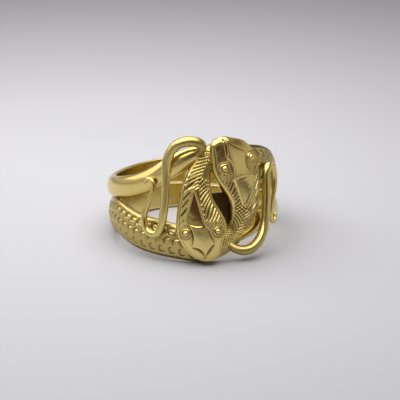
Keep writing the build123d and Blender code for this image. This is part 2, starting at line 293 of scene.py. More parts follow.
def profile(width, crown, dome, base, heading):
    """Section round: over the top from one side to the other, down, back under and up."""
    half = width / 2
    base = max(base, BORE_RADIUS)
    tilt = math.sin(heading)
    # The band curves away under a section that slants, and its edges fall by as much
    fall = base - math.sqrt(base**2 - (half * tilt) ** 2)
    shoulder = crown - dome - fall
    sag = crown - shoulder
    radius = (half**2 + sag**2) / (2 * sag)

    def corner(w, size):
        inside = np.clip(np.abs(w) - (half - size), 0, size)
        return size - np.sqrt(size**2 - inside**2)

    w = np.linspace(half, -half, TOP + 1)
    top = crown - radius + np.sqrt(radius**2 - w**2) - corner(w, TOP_EDGE)
    under_w = -UNDER * half
    under = np.sqrt(base**2 - (under_w * tilt) ** 2) + corner(under_w, UNDER_EDGE)
    wall = np.linspace(0, 1, SIDE + 1)[1:-1]
    left = top[-1] + (under[0] - top[-1]) * wall
    right = under[-1] + (top[0] - under[-1]) * wall
    across = np.concatenate([w, np.full(SIDE - 1, -half), under_w, np.full(SIDE - 1, half)])
    return across, np.concatenate([top, left, under, right])


def head_sections(rows):
    """Sections of a head and neck, each a round of points on the upright ring."""
    sections = []
    for across, height, heading, width, rise, dome, drop in rows:
        angle = across * HEAD_WIDTH / FACE_RADIUS
        heading = math.radians(heading)
        out, side, _ = directions(angle, heading)
        crown = OUTER_RADIUS + rise * HEAD_THICKNESS
        reach = BAND_WALL + SNAKE_CLEARANCE + BORE_CUT_MARGIN
        base = OUTER_RADIUS + SNAKE_CLEARANCE - drop * reach
        w, y = profile(width * HEAD_WIDTH, crown, dome * HEAD_THICKNESS, base, heading)
        origin = np.array([0, 0, height * BEZEL_LENGTH])
        sections.append(origin + w[:, None] * side + y[:, None] * out)
    return sections


def body_sections(rows, way):
    """Sections of a body, with way 1 or -1 for the side of the seam that it lies on."""
    sections = []
    for turn, edge, width in rows:
        width *= BODY_WIDTH
        heading = 0.0 if way > 0 else math.pi
        out, side, _ = directions(math.radians(way * turn), heading)
        w, y = profile(width, OUTER_RADIUS, min(BODY_DOME, width / 2), BORE_RADIUS, heading)
        middle = edge * BEZEL_LENGTH + way * (SNAKE_CLEARANCE / 2 + width / 2)
        origin = np.array([0, 0, middle])
        sections.append(origin + w[:, None] * side + y[:, None] * out)
    return sections


def smooth(knots, values, at):
    """Natural cubic spline through values at knots, read at the given places."""
    knots = np.asarray(knots, float)
    shape = values.shape[1:]
    flat = values.reshape(len(knots), -1)
    h = np.diff(knots)
    n = len(knots)
    matrix = np.eye(n)
    right = np.zeros((n, flat.shape[1]))
    slope = np.diff(flat, axis=0) / h[:, None]
    for i in range(1, n - 1):
        matrix[i, i - 1 : i + 2] = h[i - 1], 2 * (h[i - 1] + h[i]), h[i]
        right[i] = 6 * (slope[i] - slope[i - 1])
    second = np.linalg.solve(matrix, right)
    i = np.clip(np.searchsorted(knots, at) - 1, 0, n - 2)
    a = (knots[i + 1] - at)[:, None]
    b = (at - knots[i])[:, None]
    k = h[i][:, None]
    curve = (second[i] * a**3 + second[i + 1] * b**3) / (6 * k)
    curve += (flat[i] / k - second[i] * k / 6) * a + (flat[i + 1] / k - second[i + 1] * k / 6) * b
    return curve.reshape((len(at),) + shape)


def lengths(points):
    """How far along a line of points each of them lies."""
    return np.concatenate([[0], np.cumsum(np.linalg.norm(np.diff(points, axis=0), axis=1))])


def bell(distance, size):
    """1 at no distance, falling to nothing beyond about twice the size."""
    return np.exp(-((distance / size) ** 2))


def step(low, high, x):
    """0 up to low, 1 from high, and smooth between them."""
    t = np.clip((x - low) / (high - low), 0, 1)
    return t * t * (3 - 2 * t)


def arc_points(a, b, c, count=40):
    """Points on the arc from a through b to c."""
    a, b, c = (np.array(p, float) for p in (a, b, c))
    d = 2 * (a[0] * (b[1] - c[1]) + b[0] * (c[1] - a[1]) + c[0] * (a[1] - b[1]))
    sq = [p @ p for p in (a, b, c)]
    ux = (sq[0] * (b[1] - c[1]) + sq[1] * (c[1] - a[1]) + sq[2] * (a[1] - b[1])) / d
    uy = (sq[0] * (c[0] - b[0]) + sq[1] * (a[0] - c[0]) + sq[2] * (b[0] - a[0])) / d
    centre = np.array([ux, uy])
    start, middle, end = (math.atan2(*(p - centre)[::-1]) for p in (a, b, c))
    sweep = (end - start) % (2 * math.pi)
    if (middle - start) % (2 * math.pi) > sweep:
        sweep -= 2 * math.pi
    t = start + sweep * np.linspace(0, 1, count)
    return centre + np.linalg.norm(a - centre) * np.stack([np.cos(t), np.sin(t)], -1)


def to_line(x, y, line):
    """Distance to a line of points, and how far along it the nearest place is, from 0 to 1."""
    best = np.full(x.shape, np.inf)
    along = np.zeros(x.shape)
    for i, (p, q) in enumerate(zip(line[:-1], line[1:])):
        d = q - p
        t = np.clip(((x - p[0]) * d[0] + (y - p[1]) * d[1]) / (d @ d), 0, 1)
        away = np.hypot(x - p[0] - t * d[0], y - p[1] - t * d[1])
        near = away < best
        best = np.where(near, away, best)
        along = np.where(near, (i + t) / (len(line) - 1), along)
    return best, along


def within(x, y, outline):
    """True where the places lie inside a closed outline of points."""
    inside = np.zeros(x.shape, bool)
    for p, q in zip(outline, np.roll(outline, -1, axis=0)):
        crosses = (p[1] > y) != (q[1] > y)
        with np.errstate(divide="ignore", invalid="ignore"):
            at = (q[0] - p[0]) * (y - p[1]) / (q[1] - p[1]) + p[0]
        inside ^= crosses & (x < at)
    return inside


# Fine lines: how far their middle lies from what they follow, their half width and their
# depth, and how dark they are as a share of the full patina
Line = namedtuple("Line", "off width depth dark")
CRESCENT = Line(off=0.07, width=0.04, depth=0.13, dark=1.0)
EYE_LINE = Line(off=0.33, width=0.045, depth=0.05, dark=0.6)
BEVEL = Line(off=0.13, width=0.05, depth=0.0, dark=0.25)
BORDER = Line(off=0.33, width=0.045, depth=0.05, dark=0.5)
EYE_HOLLOW = Line(off=0.62, width=0.1, depth=0.07, dark=0.0)
EYE_DIRT = Line(off=0.6, width=0.12, depth=0.0, dark=0.55)
NOSTRIL = Line(off=0.0, width=0.11, depth=0.10, dark=0.0)
NOSTRIL_DIRT = Line(off=0.0, width=0.12, depth=0.0, dark=1.0)
# How much wider a crescent is in its middle, how blunt its ends and the eye lines' are, and
# how an eye line is stretched and shifted along its arc
CRESCENT_SWELL = 0.07
CRESCENT_BLUNT = 0.7
EYE_LINE_BLUNT = 0.5
EYE_LINE_REACH = (1.1, -0.05)

# From here on a pair of places is where a change begins and where it is complete.
# Rim of the crown plate, and its polish inside the rim
PLATE_EDGE = (-0.05, 0.07)
POLISH_EDGE = (0.05, 0.15)
# Flat triangle: its sides and its base, how far the base bows out, how deep the flat lies under
# the ridges, and how much deeper at the nape
FACET_SIDES = (0.04, 0.16)
FACET_BASE = (0.0, 0.14)
FACET_BASE_BOW = 0.35
FACET_SINK = 0.02
FACET_LEAN = 0.12
# Hatched bands: width of the bare rim, the bands' sides and ends, and how far from the body's
# edge the strokes reach on the side away from the other head
HEAD_RIM = 0.3
BAND_INSIDE = (0.12, 0.24)
BAND_OUTSIDE = (-0.12, 0.0)
BAND_START = (-8.0, -7.0)
BAND_END = (-0.9, 0.9)
BAND_LANE = (0.95, 1.25)
# Ends of the border line
BORDER_START = (-7.5, -6.0)
BORDER_END = (3.2, 4.0)

# Hatching on a head: pitch along the strand, slant on the side away from the other head and on
# the side next to it, half width as a share of the pitch, and the patina between the strokes
HATCH_PITCH = 0.66
HATCH_SLANT_AWAY = 0.9
HATCH_SLANT_NEXT = 1.4
HATCH_WIDTH = 0.21
HATCH_DEPTH = 0.20
HATCH_GROUND = 0.22
# The hand's unevenness: its size and how fast it comes and goes along and across
HATCH_WAVER = (0.10, 3.1, 2.3)
HATCH_UNEVEN = (0.05, 7.7)

# Dots between the hatching and the eyes
DOT_PITCH = 0.36
DOT_WAVER = (1.5, 5)
DOT_SIZE = (0.25, 0.8)
DOTS_END = (0.4, 1.5)
DOT_DEPTH = 0.05
DOT_DARK = 0.5


def engrave(height, patina_and_shade, away, line, here=1.0, wider=0.0):
    """Height and patina after a fine line is cut, from the distances to what it follows."""
    cut = bell(away - line.off, line.width + wider) * here
    return height - line.depth * cut, np.maximum(patina_and_shade, line.dark * cut)


def face_relief(face, x, y, s, w, half, dome_height):
    """Height, patina and polish of a head's engraving. x and y are places on the face, s and w
    places along and across the strand, and dome_height gives the dome's height at a w."""
    arcs = []
    edges = []
    for side in (0, 1):
        arcs.append(arc_points(face.brows[side], face.round_eyes[side], face.cheeks[side]))
        arcs.append(arc_points(face.cheeks[side], face.round_cheeks[side], face.tip))
        edges.append(np.array([face.nape, face.brows[side]], float))
    outline = np.concatenate([edges[1], arcs[2], arcs[3], arcs[1][::-1], arcs[0][::-1]])
    on_plate = within(x, y, outline)
    rim_distance, _ = to_line(x, y, np.concatenate([outline, outline[:1]]))
    signed = np.where(on_plate, rim_distance, -rim_distance)
    height = RELIEF_HEIGHT * step(*PLATE_EDGE, signed)
    patina_and_shade = np.zeros(x.shape)

    # Crescent cuts outside the hollow sides of the plate, widest in their middle
    for arc in arcs:
        away, along = to_line(x, y, arc)
        swell = np.sin(np.pi * np.clip(along, 0, 1)) ** CRESCENT_BLUNT
        wider = CRESCENT_SWELL * swell
        height, patina_and_shade = engrave(height, patina_and_shade, away, CRESCENT, swell * ~on_plate, wider)
    # A second fine line round each eye, inside the crescent
    stretch, start = EYE_LINE_REACH
    for side in (0, 1):
        away, along = to_line(x, y, arcs[2 * side])
        swell = np.sin(np.pi * np.clip(along * stretch + start, 0, 1)) ** EYE_LINE_BLUNT
        height, patina_and_shade = engrave(height, patina_and_shade, away, EYE_LINE, swell * ~on_plate)

    # The polished flat triangle between the nape and the brows, inside two thin ridges
    left, right = np.array(face.brows[0]), np.array(face.brows[1])
    nape = np.array(face.nape)
    inside_edges = np.minimum(to_line(x, y, edges[0])[0], to_line(x, y, edges[1])[0])
    middle = (left + right) / 2
    base_line = arc_points(left, middle + np.array([0, FACET_BASE_BOW]), right)
    to_base, _ = to_line(x, y, base_line)
    triangle = within(x, y, np.concatenate([[nape], base_line]))
    facet = triangle * step(*FACET_SIDES, inside_edges) * step(*FACET_BASE, to_base)
    part = np.clip((y - nape[1]) / (middle[1] - nape[1]), 0, 1)
    x_left = nape[0] + (left[0] - nape[0]) * part
    x_right = nape[0] + (right[0] - nape[0]) * part
    shift = w - x
    chord_left = dome_height(x_left + shift)
    chord_right = dome_height(x_right + shift)
    share = np.clip((x - x_left) / np.maximum(x_right - x_left, 1e-3), 0, 1)
    flat = chord_left + (chord_right - chord_left) * share - dome_height(w)
    height = height + facet * (flat - FACET_SINK - FACET_LEAN * (1 - part))
    height, patina_and_shade = engrave(height, patina_and_shade, inside_edges, BEVEL, triangle)
    polish = on_plate * step(*POLISH_EDGE, rim_distance)

    # Hatched bands between the triangle and the rim of the head
    from_rim = half - np.abs(w)
    outside = step(*BAND_INSIDE, -signed) * (1 - step(*BAND_OUTSIDE, HEAD_RIM - from_rim))
    eye_way = step(*BAND_END, y)
    slant = np.where(x > 0, HATCH_SLANT_AWAY, HATCH_SLANT_NEXT)
    size, along, across = HATCH_WAVER
    phase = (s + slant * w) / HATCH_PITCH + size * np.sin(along * s + across * w)
    stroke = np.abs(phase % 1 - 0.5)
    size, change = HATCH_UNEVEN
    thick = HATCH_WIDTH + size * np.sin(change * np.floor(phase))
    band = outside * (1 - eye_way) * step(*BAND_START, y)
    lane = np.where(x > 0, 1 - step(*BAND_LANE, from_rim), 1.0)
    hatch = bell(stroke, thick) * band * lane
    height -= HATCH_DEPTH * hatch
    patina_and_shade = np.maximum(patina_and_shade, np.maximum(hatch, HATCH_GROUND * band))
    # Dots where the hatching meets the eyes
    size, change = DOT_WAVER
    round_s, round_w = 2 * np.pi * s / DOT_PITCH, 2 * np.pi * w / DOT_PITCH
    dots = np.sin(round_s + size * np.sin(change * w)) * np.sin(round_w)
    stipple = step(*DOT_SIZE, dots) * outside * eye_way * (1 - step(*DOTS_END, y))
    height -= DOT_DEPTH * stipple
    patina_and_shade = np.maximum(patina_and_shade, DOT_DARK * stipple)

    # Border line along the head's edges
    here = step(*BORDER_START, y) * (1 - step(*BORDER_END, y))
    height, patina_and_shade = engrave(height, patina_and_shade, from_rim, BORDER, here)
    # Hollows that the eyes sit in
    for eye_x, eye_y in EYE_PLACES:
        away = np.hypot(x - eye_x, y - eye_y)
        for line in (EYE_HOLLOW, EYE_DIRT):
            height, patina_and_shade = engrave(height, patina_and_shade, away, line)
    away = np.hypot(x - face.nostril[0], y - face.nostril[1])
    for line in (NOSTRIL, NOSTRIL_DIRT):
        height, patina_and_shade = engrave(height, patina_and_shade, away, line)
    return height, patina_and_shade, polish


# Where the neck's engraving starts and ends, and how near it comes to the body's edges
NECK_START = (8.3, 9.2)
NECK_END = (14.5, 16.5)
NECK_EDGE = (-0.35, -0.15)
# Herringbone: pitch along, slant, where its spine lies across, half width in pitches, its end,
# and the hand's unevenness
HERRING_PITCH = 0.46
HERRING_SLANT = 0.9
HERRING_SPINE = -0.2
HERRING_WIDTH = 0.18
HERRING_END = (12.0, 13.2)
HERRING_WAVER = (0.08, 1, 4)
# The stippled scales after it
STIPPLE_PITCH = 0.34
STIPPLE_WAVER = (0.1, 1.7)
STIPPLE_SIZE = (0.1, 0.8)
STIPPLE_START = (11.6, 12.8)
STIPPLE_SHARE = 0.8
NECK_DEPTH = 0.13
NECK_DARK = 0.95
NECK_GROUND = 0.22


def neck_relief(s, w, half):
    """Herringbone strokes that fade to stippled scales on the neck."""
    here = step(*NECK_START, s) * (1 - step(*NECK_END, s))
    inner = 1 - step(*NECK_EDGE, np.abs(w) - half)
    size, along, across = HERRING_WAVER
    phase = (s + HERRING_SLANT * np.abs(w - HERRING_SPINE)) / HERRING_PITCH
    stroke = np.abs((phase + size * np.sin(across * w + along * s)) % 1 - 0.5)
    herring = bell(stroke, HERRING_WIDTH) * (1 - step(*HERRING_END, s))
    row = s / STIPPLE_PITCH
    size, change = STIPPLE_WAVER
    shifted = w / STIPPLE_PITCH + size * np.sin(change * row)
    dots = np.cos(2 * np.pi * row) * np.cos(2 * np.pi * shifted)
    stipple = step(*STIPPLE_SIZE, dots) * step(*STIPPLE_START, s)
    cut = here * inner * np.maximum(herring, STIPPLE_SHARE * stipple)
    return -NECK_DEPTH * cut, np.maximum(NECK_DARK * cut, NECK_GROUND * here)


# Rows of crescent cuts on the bodies: share of the half width, length of a cell, radius, lean,
# how far round the crescent goes (1 is a half circle), and its shift along in cells
Scales = namedtuple("Scales", "place pitch radius lean open shift")
SCALES = (
    Scales(-0.52, 1.05, 0.52, 0.9, 0.15, 0.0),
    Scales(0.00, 1.05, 0.46, 0.7, 0.10, 0.5),
    Scales(0.56, 1.27, 0.38, -0.5, -0.55, 0.2),
)
SCALE_CUT = 0.10
SCALE_DEPTH = 0.14
# How softly a crescent's ends run out, before and after the place that open gives
SCALE_ENDS = (-0.15, 0.45)
# How uneven the cells are: along as a share of the pitch, then across and in radius
CELL_UNEVEN = (0.05, 0.06, 0.03)
CELL_CHANGE = (12.9, 31)
# The short stroke in each crescent: half width, depth as a share of the crescent's, and ends
DASH_WIDTH = 0.06
DASH_SHARE = 0.7
DASH_START = (-0.15, 0.05)
DASH_END = (0.1, 0.3)
# The swelling inside each crescent; the darkening over the scaled body, partly patina in the cuts
# and partly painted shade; and painted shade along the body's outer edge
SWELL_HEIGHT = 0.035
SWELL_EDGE = (0.04, 0.30)
SCALE_PATINA_AND_SHADE = 0.36
EDGE_PAINTED_SHADE = 0.95
EDGE_SHADE_FADE = (0.26, 0.50)


def scale_relief(s, w, half):
    """Rows of crescent cuts with a short stroke in each, as scales on the body, darkened by patina
    and painted shade, with painted shade along the outer edge.
    """
    here = step(SCALED_FROM, SCALED_FROM + SCALES_RISE, s)
    here = here * (1 - step(SCALED_TO - SCALES_FALL, SCALED_TO, s))
    height = np.zeros(s.shape)
    patina_and_shade = np.zeros(s.shape)
    for row in SCALES:
        cell = np.floor(s / row.pitch + row.shift)
        waver = np.sin(CELL_CHANGE[0] * cell + CELL_CHANGE[1] * row.place)
        ds = s - (cell + 0.5 - row.shift + CELL_UNEVEN[0] * waver) * row.pitch
        dw = w - row.place * half - CELL_UNEVEN[1] * waver
        radius = row.radius + CELL_UNEVEN[2] * waver
        along = ds * math.cos(row.lean) - dw * math.sin(row.lean)
        cross = ds * math.sin(row.lean) + dw * math.cos(row.lean)
        away = np.hypot(along, cross)
        front = np.clip(along / np.maximum(away, 1e-3), -1, 1)
        sweep = step(row.open + SCALE_ENDS[0], row.open + SCALE_ENDS[1], front)
        cut = bell(away - radius, SCALE_CUT) * sweep
        dash = step(*DASH_START, along) * (1 - step(*DASH_END, along))
        dash = bell(cross, DASH_WIDTH) * dash
        full = here * np.maximum(cut, DASH_SHARE * dash)
        height += SWELL_HEIGHT * here * step(*SWELL_EDGE, radius - away) - SCALE_DEPTH * full
        patina_and_shade = np.maximum(patina_and_shade, full)
    # Painted shade along the body's outer edge, and patina with painted shade over the whole scaled
    # body
    outer_edge_shade = 1 - step(*EDGE_SHADE_FADE, half - w)
    return height, np.maximum(patina_and_shade, here * np.maximum(SCALE_PATINA_AND_SHADE, EDGE_PAINTED_SHADE * outer_edge_shade))


# Where a face's engraving starts and ends, how it fades at the body's edges, and how the snout
# and the tail's tip are rounded off
FACE_START = (-0.1, 0.3)
FACE_END = (9.6, 10.4)
RELIEF_FADE = 0.14
SNOUT_ROUND = 0.25
TIP_ROUND = 0.4
LEAST_ROUND = 0.02


def strand(head, shoulder, shank, tail, way, face):
    """The snake's body from snout to tail tip: vertices, faces, and the marks of its engraving and
    of its painted shade.
    """
    rows = np.array(head_sections(head) + body_sections(shoulder + shank + tail, way))
    knots = lengths(rows[:, TOP // 2])
    s = np.concatenate(
        [
            SNOUT_STEPS,
            np.arange(FINE_FROM, SCALED_FROM, FINE_STEP),
            np.arange(SCALED_FROM, SCALED_TO, SCALE_STEP),
            np.arange(SCALED_TO, knots[-1] - PLAIN_TO, PLAIN_STEP),
            knots[-1] - np.array(TIP_STEPS),
        ]
    )
    grid = smooth(knots, rows, s)
    reach = np.hypot(grid[..., 0], grid[..., 1])
    grid[..., :2] *= np.maximum(1, BORE_RADIUS / reach)[..., None]

    top = grid[:, : TOP + 1]
    half = np.linalg.norm(top[:, 0] - top[:, -1], axis=1)[:, None] / 2
    w = np.linspace(1, -1, TOP + 1)[None] * half
    angle = np.arctan2(top[..., 0], -top[..., 1])
    widest = head[WIDEST_ROW]
    heading = math.radians(widest.heading)
    dx = FACE_RADIUS * (angle - widest.across * HEAD_WIDTH / FACE_RADIUS)
    dz = top[..., 2] - widest.height * BEZEL_LENGTH
    x = -dx * math.sin(heading) + dz * math.cos(heading)
    y = -dx * math.cos(heading) - dz * math.sin(heading)
    domes = [row.dome * HEAD_THICKNESS for row in head]
    sag = np.interp(s, knots[: len(head)], domes)[:, None]
    radius = (half**2 + sag**2) / (2 * sag)

    def dome_height(at):
        return np.sqrt(radius**2 - np.clip(at, -half, half) ** 2) - radius

    ss = np.broadcast_to(s[:, None], w.shape)
    on_face = (1 - step(*FACE_END, ss)) * step(*FACE_START, ss)
    relief, patina_and_shade, polish = face_relief(face, x, y, ss, w, half, dome_height)
    relief, patina_and_shade, polish = relief * on_face, patina_and_shade * on_face, polish * on_face
    for extra_relief, extra_patina_and_shade in (neck_relief(ss, w, half), scale_relief(ss, w, half)):
        relief = relief + extra_relief
        patina_and_shade = np.maximum(patina_and_shade, extra_patina_and_shade)
    relief = relief * step(0, RELIEF_FADE, half - np.abs(w))

    run = np.gradient(top, axis=0)
    cross = np.gradient(top, axis=1)
    normal = np.cross(run, cross)
    normal /= np.linalg.norm(normal, axis=-1, keepdims=True)
    outward = np.stack([np.sin(angle), -np.cos(angle), np.zeros(angle.shape)], -1)
    normal *= np.sign((normal * outward).sum(-1, keepdims=True))
    grid[:, : TOP + 1] += relief[..., None] * normal

    # Round off both ends
    core = grid.mean(axis=1, keepdims=True)
    for end, length in ((s, SNOUT_ROUND), (knots[-1] - s, TIP_ROUND)):
        t = np.clip(end / length, 0, 1)
        shrink = np.sqrt(np.maximum(1 - (1 - t) ** 2, LEAST_ROUND))[:, None, None]
        grid = core + (grid - core) * shrink
    count = grid.shape[1]
    marks = np.zeros((len(s), count, 2))
    marks[:, : TOP + 1, 0] = patina_and_shade
    marks[:, : TOP + 1, 1] = polish
    faces = []
    for i in range(len(s) - 1):
        a = i * count
        for j in range(count):
            k = (j + 1) % count
            faces.append((a + j, a + k, a + count + k, a + count + j))
    last = (len(s) - 1) * count
    vertices = list(grid.reshape(-1, 3))
    for ring, flip in ((0, True), (last, False)):
        vertices.append(grid.reshape(-1, 3)[ring : ring + count].mean(axis=0))
        tip = len(vertices) - 1
        for j in range(count):
            a, b = ring + j, ring + (j + 1) % count
            faces.append((b, a, tip) if flip else (a, b, tip))
    marks = np.concatenate([marks.reshape(-1, 2), np.zeros((2, 2))])
    return np.array(vertices), faces, marks


# Painted shade on the wires, carried as patina: at the root, fading over this length, and on the
# side next to the ring
WIRE_ROOT_SHADE = 0.66
WIRE_ROOT_LENGTH = 9.0
WIRE_INNER_SHADE = 0.7
WIRE_INNER_EDGE = (0.1, 0.9)
# Steps of the round ends, as shares of the radius from the middle of the last section
WIRE_END_STEPS = (0.38, 0.64, 0.85, 0.97)


def tube(rows, around=26, step_length=0.13):
    """The wire tail, round in section, with round ends."""
    across, height, lift, size = np.array(rows).T
    size = size * WIRE_DIAMETER / 2
    reach = OUTER_RADIUS + lift * WIRE_DIAMETER + size
    angle = across * HEAD_WIDTH / FACE_RADIUS
    places = np.stack([reach * np.sin(angle), -reach * np.cos(angle), height * BEZEL_LENGTH], -1)
    knots = lengths(places)
    at = np.linspace(0, knots[-1], int(knots[-1] / step_length))
    line = smooth(knots, np.concatenate([places, size[:, None]], 1), at)
    line, size = line[:, :3], line[:, 3]
    ahead = np.gradient(line, axis=0)
    ahead /= np.linalg.norm(ahead, axis=1, keepdims=True)

    def cap(end, way):
        """Rings of a round end, from the last section outwards"""
        made = []
        for out in WIRE_END_STEPS:
            place = line[end] + way * ahead[end] * size[end] * out
            made.append((place, ahead[end], size[end] * math.sqrt(1 - out**2)))
        return made

    rings = cap(0, -1)[::-1] + list(zip(line, ahead, size)) + cap(-1, 1)
    gone = lengths([place for place, _, _ in rings])
    vertices, painted_shade = [], []
    for (place, along, radius), way_gone in zip(rings, gone):
        # Painted shade near the root and on the side that faces the ring
        near_root = WIRE_ROOT_SHADE * max(0.0, 1 - way_gone / WIRE_ROOT_LENGTH)
        side = np.cross(np.array([place[0], place[1], 0]), along)
        side /= np.linalg.norm(side)
        up = np.cross(along, side)
        for k in range(around):
            t = 2 * math.pi * k / around
            vertices.append(place + radius * (math.cos(t) * side + math.sin(t) * up))
            painted_shade.append(max(near_root, WIRE_INNER_SHADE * step(*WIRE_INNER_EDGE, -math.sin(t))))
    faces = []
    for i in range(len(rings) - 1):
        for k in range(around):
            a, b = i * around + k, i * around + (k + 1) % around
            faces.append((a, b, b + around, a + around))
    for ring, flip in ((0, True), (len(rings) - 1, False)):
        vertices.append(np.mean(vertices[ring * around : (ring + 1) * around], axis=0))
        point = len(vertices) - 1
        painted_shade.append(0.0)
        for k in range(around):
            a, b = ring * around + k, ring * around + (k + 1) % around
            faces.append((b, a, point) if flip else (a, b, point))
    return np.array(vertices), faces, np.stack([painted_shade, np.zeros(len(painted_shade))], -1)


# Where an eye ball gets painted shade towards its base, as a share of the radius below its middle
BALL_SHADE = (-0.35, 0.15)


def ball(place, across, ahead, out, radius, around=28, rings=16):
    """An eye ball, with painted shade at its base."""
    vertices = [place + out * radius]
    for i in range(1, rings):
        t = math.pi * i / rings
        for k in range(around):
            u = 2 * math.pi * k / around
            flat = across * math.cos(u) + ahead * math.sin(u)
            vertices.append(place + radius * (out * math.cos(t) + flat * math.sin(t)))
    vertices.append(place - out * radius)
    faces = [(0, 1 + k, 1 + (k + 1) % around) for k in range(around)]
    for i in range(rings - 2):
        for k in range(around):
            a, b = 1 + i * around + k, 1 + i * around + (k + 1) % around
            faces.append((a, a + around, b + around, b))
    base, last = 1 + (rings - 2) * around, len(vertices) - 1
    faces += [(base + (k + 1) % around, base + k, last) for k in range(around)]
    vertices = np.array(vertices)
    low = step(*BALL_SHADE, -((vertices - place) @ out) / radius)
    return vertices, faces, np.stack([low, np.zeros(len(low))], -1)


def ring_round(place, across, ahead, out, radius, wire, around=44, section=12):
    """A brow ring, with painted shade on its inner side."""
    vertices, painted_shade = [], []
    for k in range(around):
        u = 2 * math.pi * k / around
        flat = across * math.cos(u) + ahead * math.sin(u)
        for j in range(section):
            v = 2 * math.pi * j / section
            vertices.append(place + flat * (radius + wire * math.cos(v)) + out * wire * math.sin(v))
            painted_shade.append(max(0.0, -math.cos(v)) ** 0.5)
    faces = []
    for k in range(around):
        for j in range(section):
            a = k * section + j
            b = k * section + (j + 1) % section
            c = ((k + 1) % around) * section
            faces.append((a, c + j, c + (j + 1) % section, b))
    return np.array(vertices), faces, np.stack([painted_shade, np.zeros(len(painted_shade))], -1)


def eyes(head):
    """Both eye balls and brow rings of a head."""
    row = head[WIDEST_ROW]
    angle = row.across * HEAD_WIDTH / FACE_RADIUS
    out, side, ahead = directions(angle, math.radians(row.heading))
    ring_radius = (BROW_DIAMETER - BROW_WIRE) / 2
    parts = []
    for x, y in EYE_PLACES:
        place = np.array([0, 0, row.height * BEZEL_LENGTH]) + x * side - y * ahead
        place = place + (OUTER_RADIUS + EYE_SEAT * HEAD_THICKNESS) * out
        lean = math.copysign(EYE_LEAN, x)
        up = out * math.cos(lean) + side * math.sin(lean)
        flat = side * math.cos(lean) - out * math.sin(lean)
        parts.append(ball(place, flat, ahead, up, EYE_DIAMETER / 2))
        parts.append(ring_round(place, flat, ahead, up, ring_radius, BROW_WIRE / 2))
    return parts


# Painted shade on the web's outer side, carried as patina, past 1 so that the noise leaves it full
WEB_SHADE = 2


def finger_hole_web(around=56, up=24, edge=0.04):
    """Curved plate behind the gap between the heads, its outer side painted near black as shade."""

    def places(shares, scale, count, near):
        low, high = (share * scale for share in shares)
        return np.concatenate([[low], np.linspace(low + near, high - near, count - 2), [high]])

    turns = places(WEB_SIDES, HEAD_WIDTH / FACE_RADIUS, around, edge / BORE_RADIUS)
    heights = places(WEB_EDGES, BEZEL_LENGTH, up, edge)
    outer = BORE_RADIUS + WEB_THICKNESS * BAND_WALL
    vertices = []
    for radius in (outer, BORE_RADIUS):
        for turn in turns:
            vertices += [(radius * math.sin(turn), -radius * math.cos(turn), z) for z in heights]

    def at(layer, i, j):
        return (layer * around + i) * up + j

    faces = []
    for i in range(around - 1):
        for j in range(up - 1):
            corners = ((i, j), (i + 1, j), (i + 1, j + 1), (i, j + 1))
            faces.append([at(0, *c) for c in corners])
            faces.append([at(1, *c) for c in reversed(corners)])
    border = [(i, 0) for i in range(around)] + [(around - 1, j) for j in range(1, up)]
    border += [(i, up - 1) for i in range(around - 2, -1, -1)]
    border += [(0, j) for j in range(up - 2, 0, -1)]
    for p, q in zip(border, border[1:] + border[:1]):
        faces.append([at(0, *q), at(0, *p), at(1, *p), at(1, *q)])
    marks = np.zeros((len(vertices), 2))
    # The outer side painted dark as shade
    marks[: around * up, 0] = WEB_SHADE
    return np.array(vertices), faces, marks


def snake(name, parts):
    """One mesh of a snake's parts, in metres, with the marks of its vertices for patina and painted
    shade, and for polish.
    """
    vertices, faces, marks = [], [], []
    start = 0
    for part_vertices, part_faces, part_marks in parts:
        vertices.append(part_vertices)
        marks.append(part_marks)
        faces += [tuple(start + v for v in face) for face in part_faces]
        start += len(part_vertices)
    points = rested(np.concatenate(vertices)) * MM
    marks = np.concatenate(marks)
    mesh = bpy.data.meshes.new(name)
    mesh.from_pydata(points.tolist(), [], faces)
    mesh.polygons.foreach_set("use_smooth", np.ones(len(faces), bool))
    for index, mark in enumerate(("patina_and_shade", "polish")):
        layer = mesh.attributes.new(mark, "FLOAT", "POINT")
        layer.data.foreach_set("value", marks[:, index].astype(np.float32))
    mesh.update()
    piece = bpy.data.objects.new(name, mesh)
    bpy.context.scene.collection.objects.link(piece)
    return piece


def node(tree, kind, place, **values):
    """A node with the given inputs or settings."""
    made = tree.nodes.new(kind)
    made.location = place
    for key, value in values.items():
        if key in made.inputs:
            made.inputs[key].default_value = value
        else:
            setattr(made, key, value)
    return made


def mix(tree, kind, factor, a, b, place):
    """A mix node's output, from sockets or plain values."""
    made = tree.nodes.new("ShaderNodeMix")
    made.location = place
    made.data_type = kind
    # The node's sockets for A, B and the result lie at other places for colours
    low, high, result = (6, 7, 2) if kind == "RGBA" else (2, 3, 0)
    for index, value in ((0, factor), (low, a), (high, b)):
        if isinstance(value, bpy.types.NodeSocket):
            tree.links.new(value, made.inputs[index])
        else:
            made.inputs[index].default_value = value
    return made.outputs[result]


def mapped(tree, value, low, high, to_low, to_high, place):
    """A value mapped from one range to another and held inside it."""
    made = tree.nodes.new("ShaderNodeMapRange")
    made.location = place
    for index, number in ((1, low), (2, high), (3, to_low), (4, to_high)):
        made.inputs[index].default_value = number
    tree.links.new(value, made.inputs[0])
    return made.outputs[0]


# Gold: the metal's two tones, and the colour that the deepest cuts have, which also paints shade
GOLD_COOL = (0.69, 0.565, 0.185, 1)
GOLD_WARM = (0.77, 0.60, 0.22, 1)
PATINA_AND_SHADE_COLOUR = (0.075, 0.045, 0.014, 1)
# Noise: how wide its blotches are in mm, and its detail
WIDE = (4.0, 3.0)
SMALL = (0.7, 4.0)
GRAIN = (0.12, 3.0)
NOISE_ROUGHNESS = 0.55
# How the noise is mapped: from this range, to this one
TONE = (0.35, 0.65, 0.0, 1.0)
DIRTY = (0.3, 0.7, 0.85, 1.0)
WORN = (0.3, 0.7, 0.13, 0.25)
DULL_ROUGHNESS = 0.5
POLISHED_ROUGHNESS = 0.10
# Bumps: strength, and height in metres
DENTS = (0.10, 0.00012)
SCRATCHES = (0.08, 0.00002)


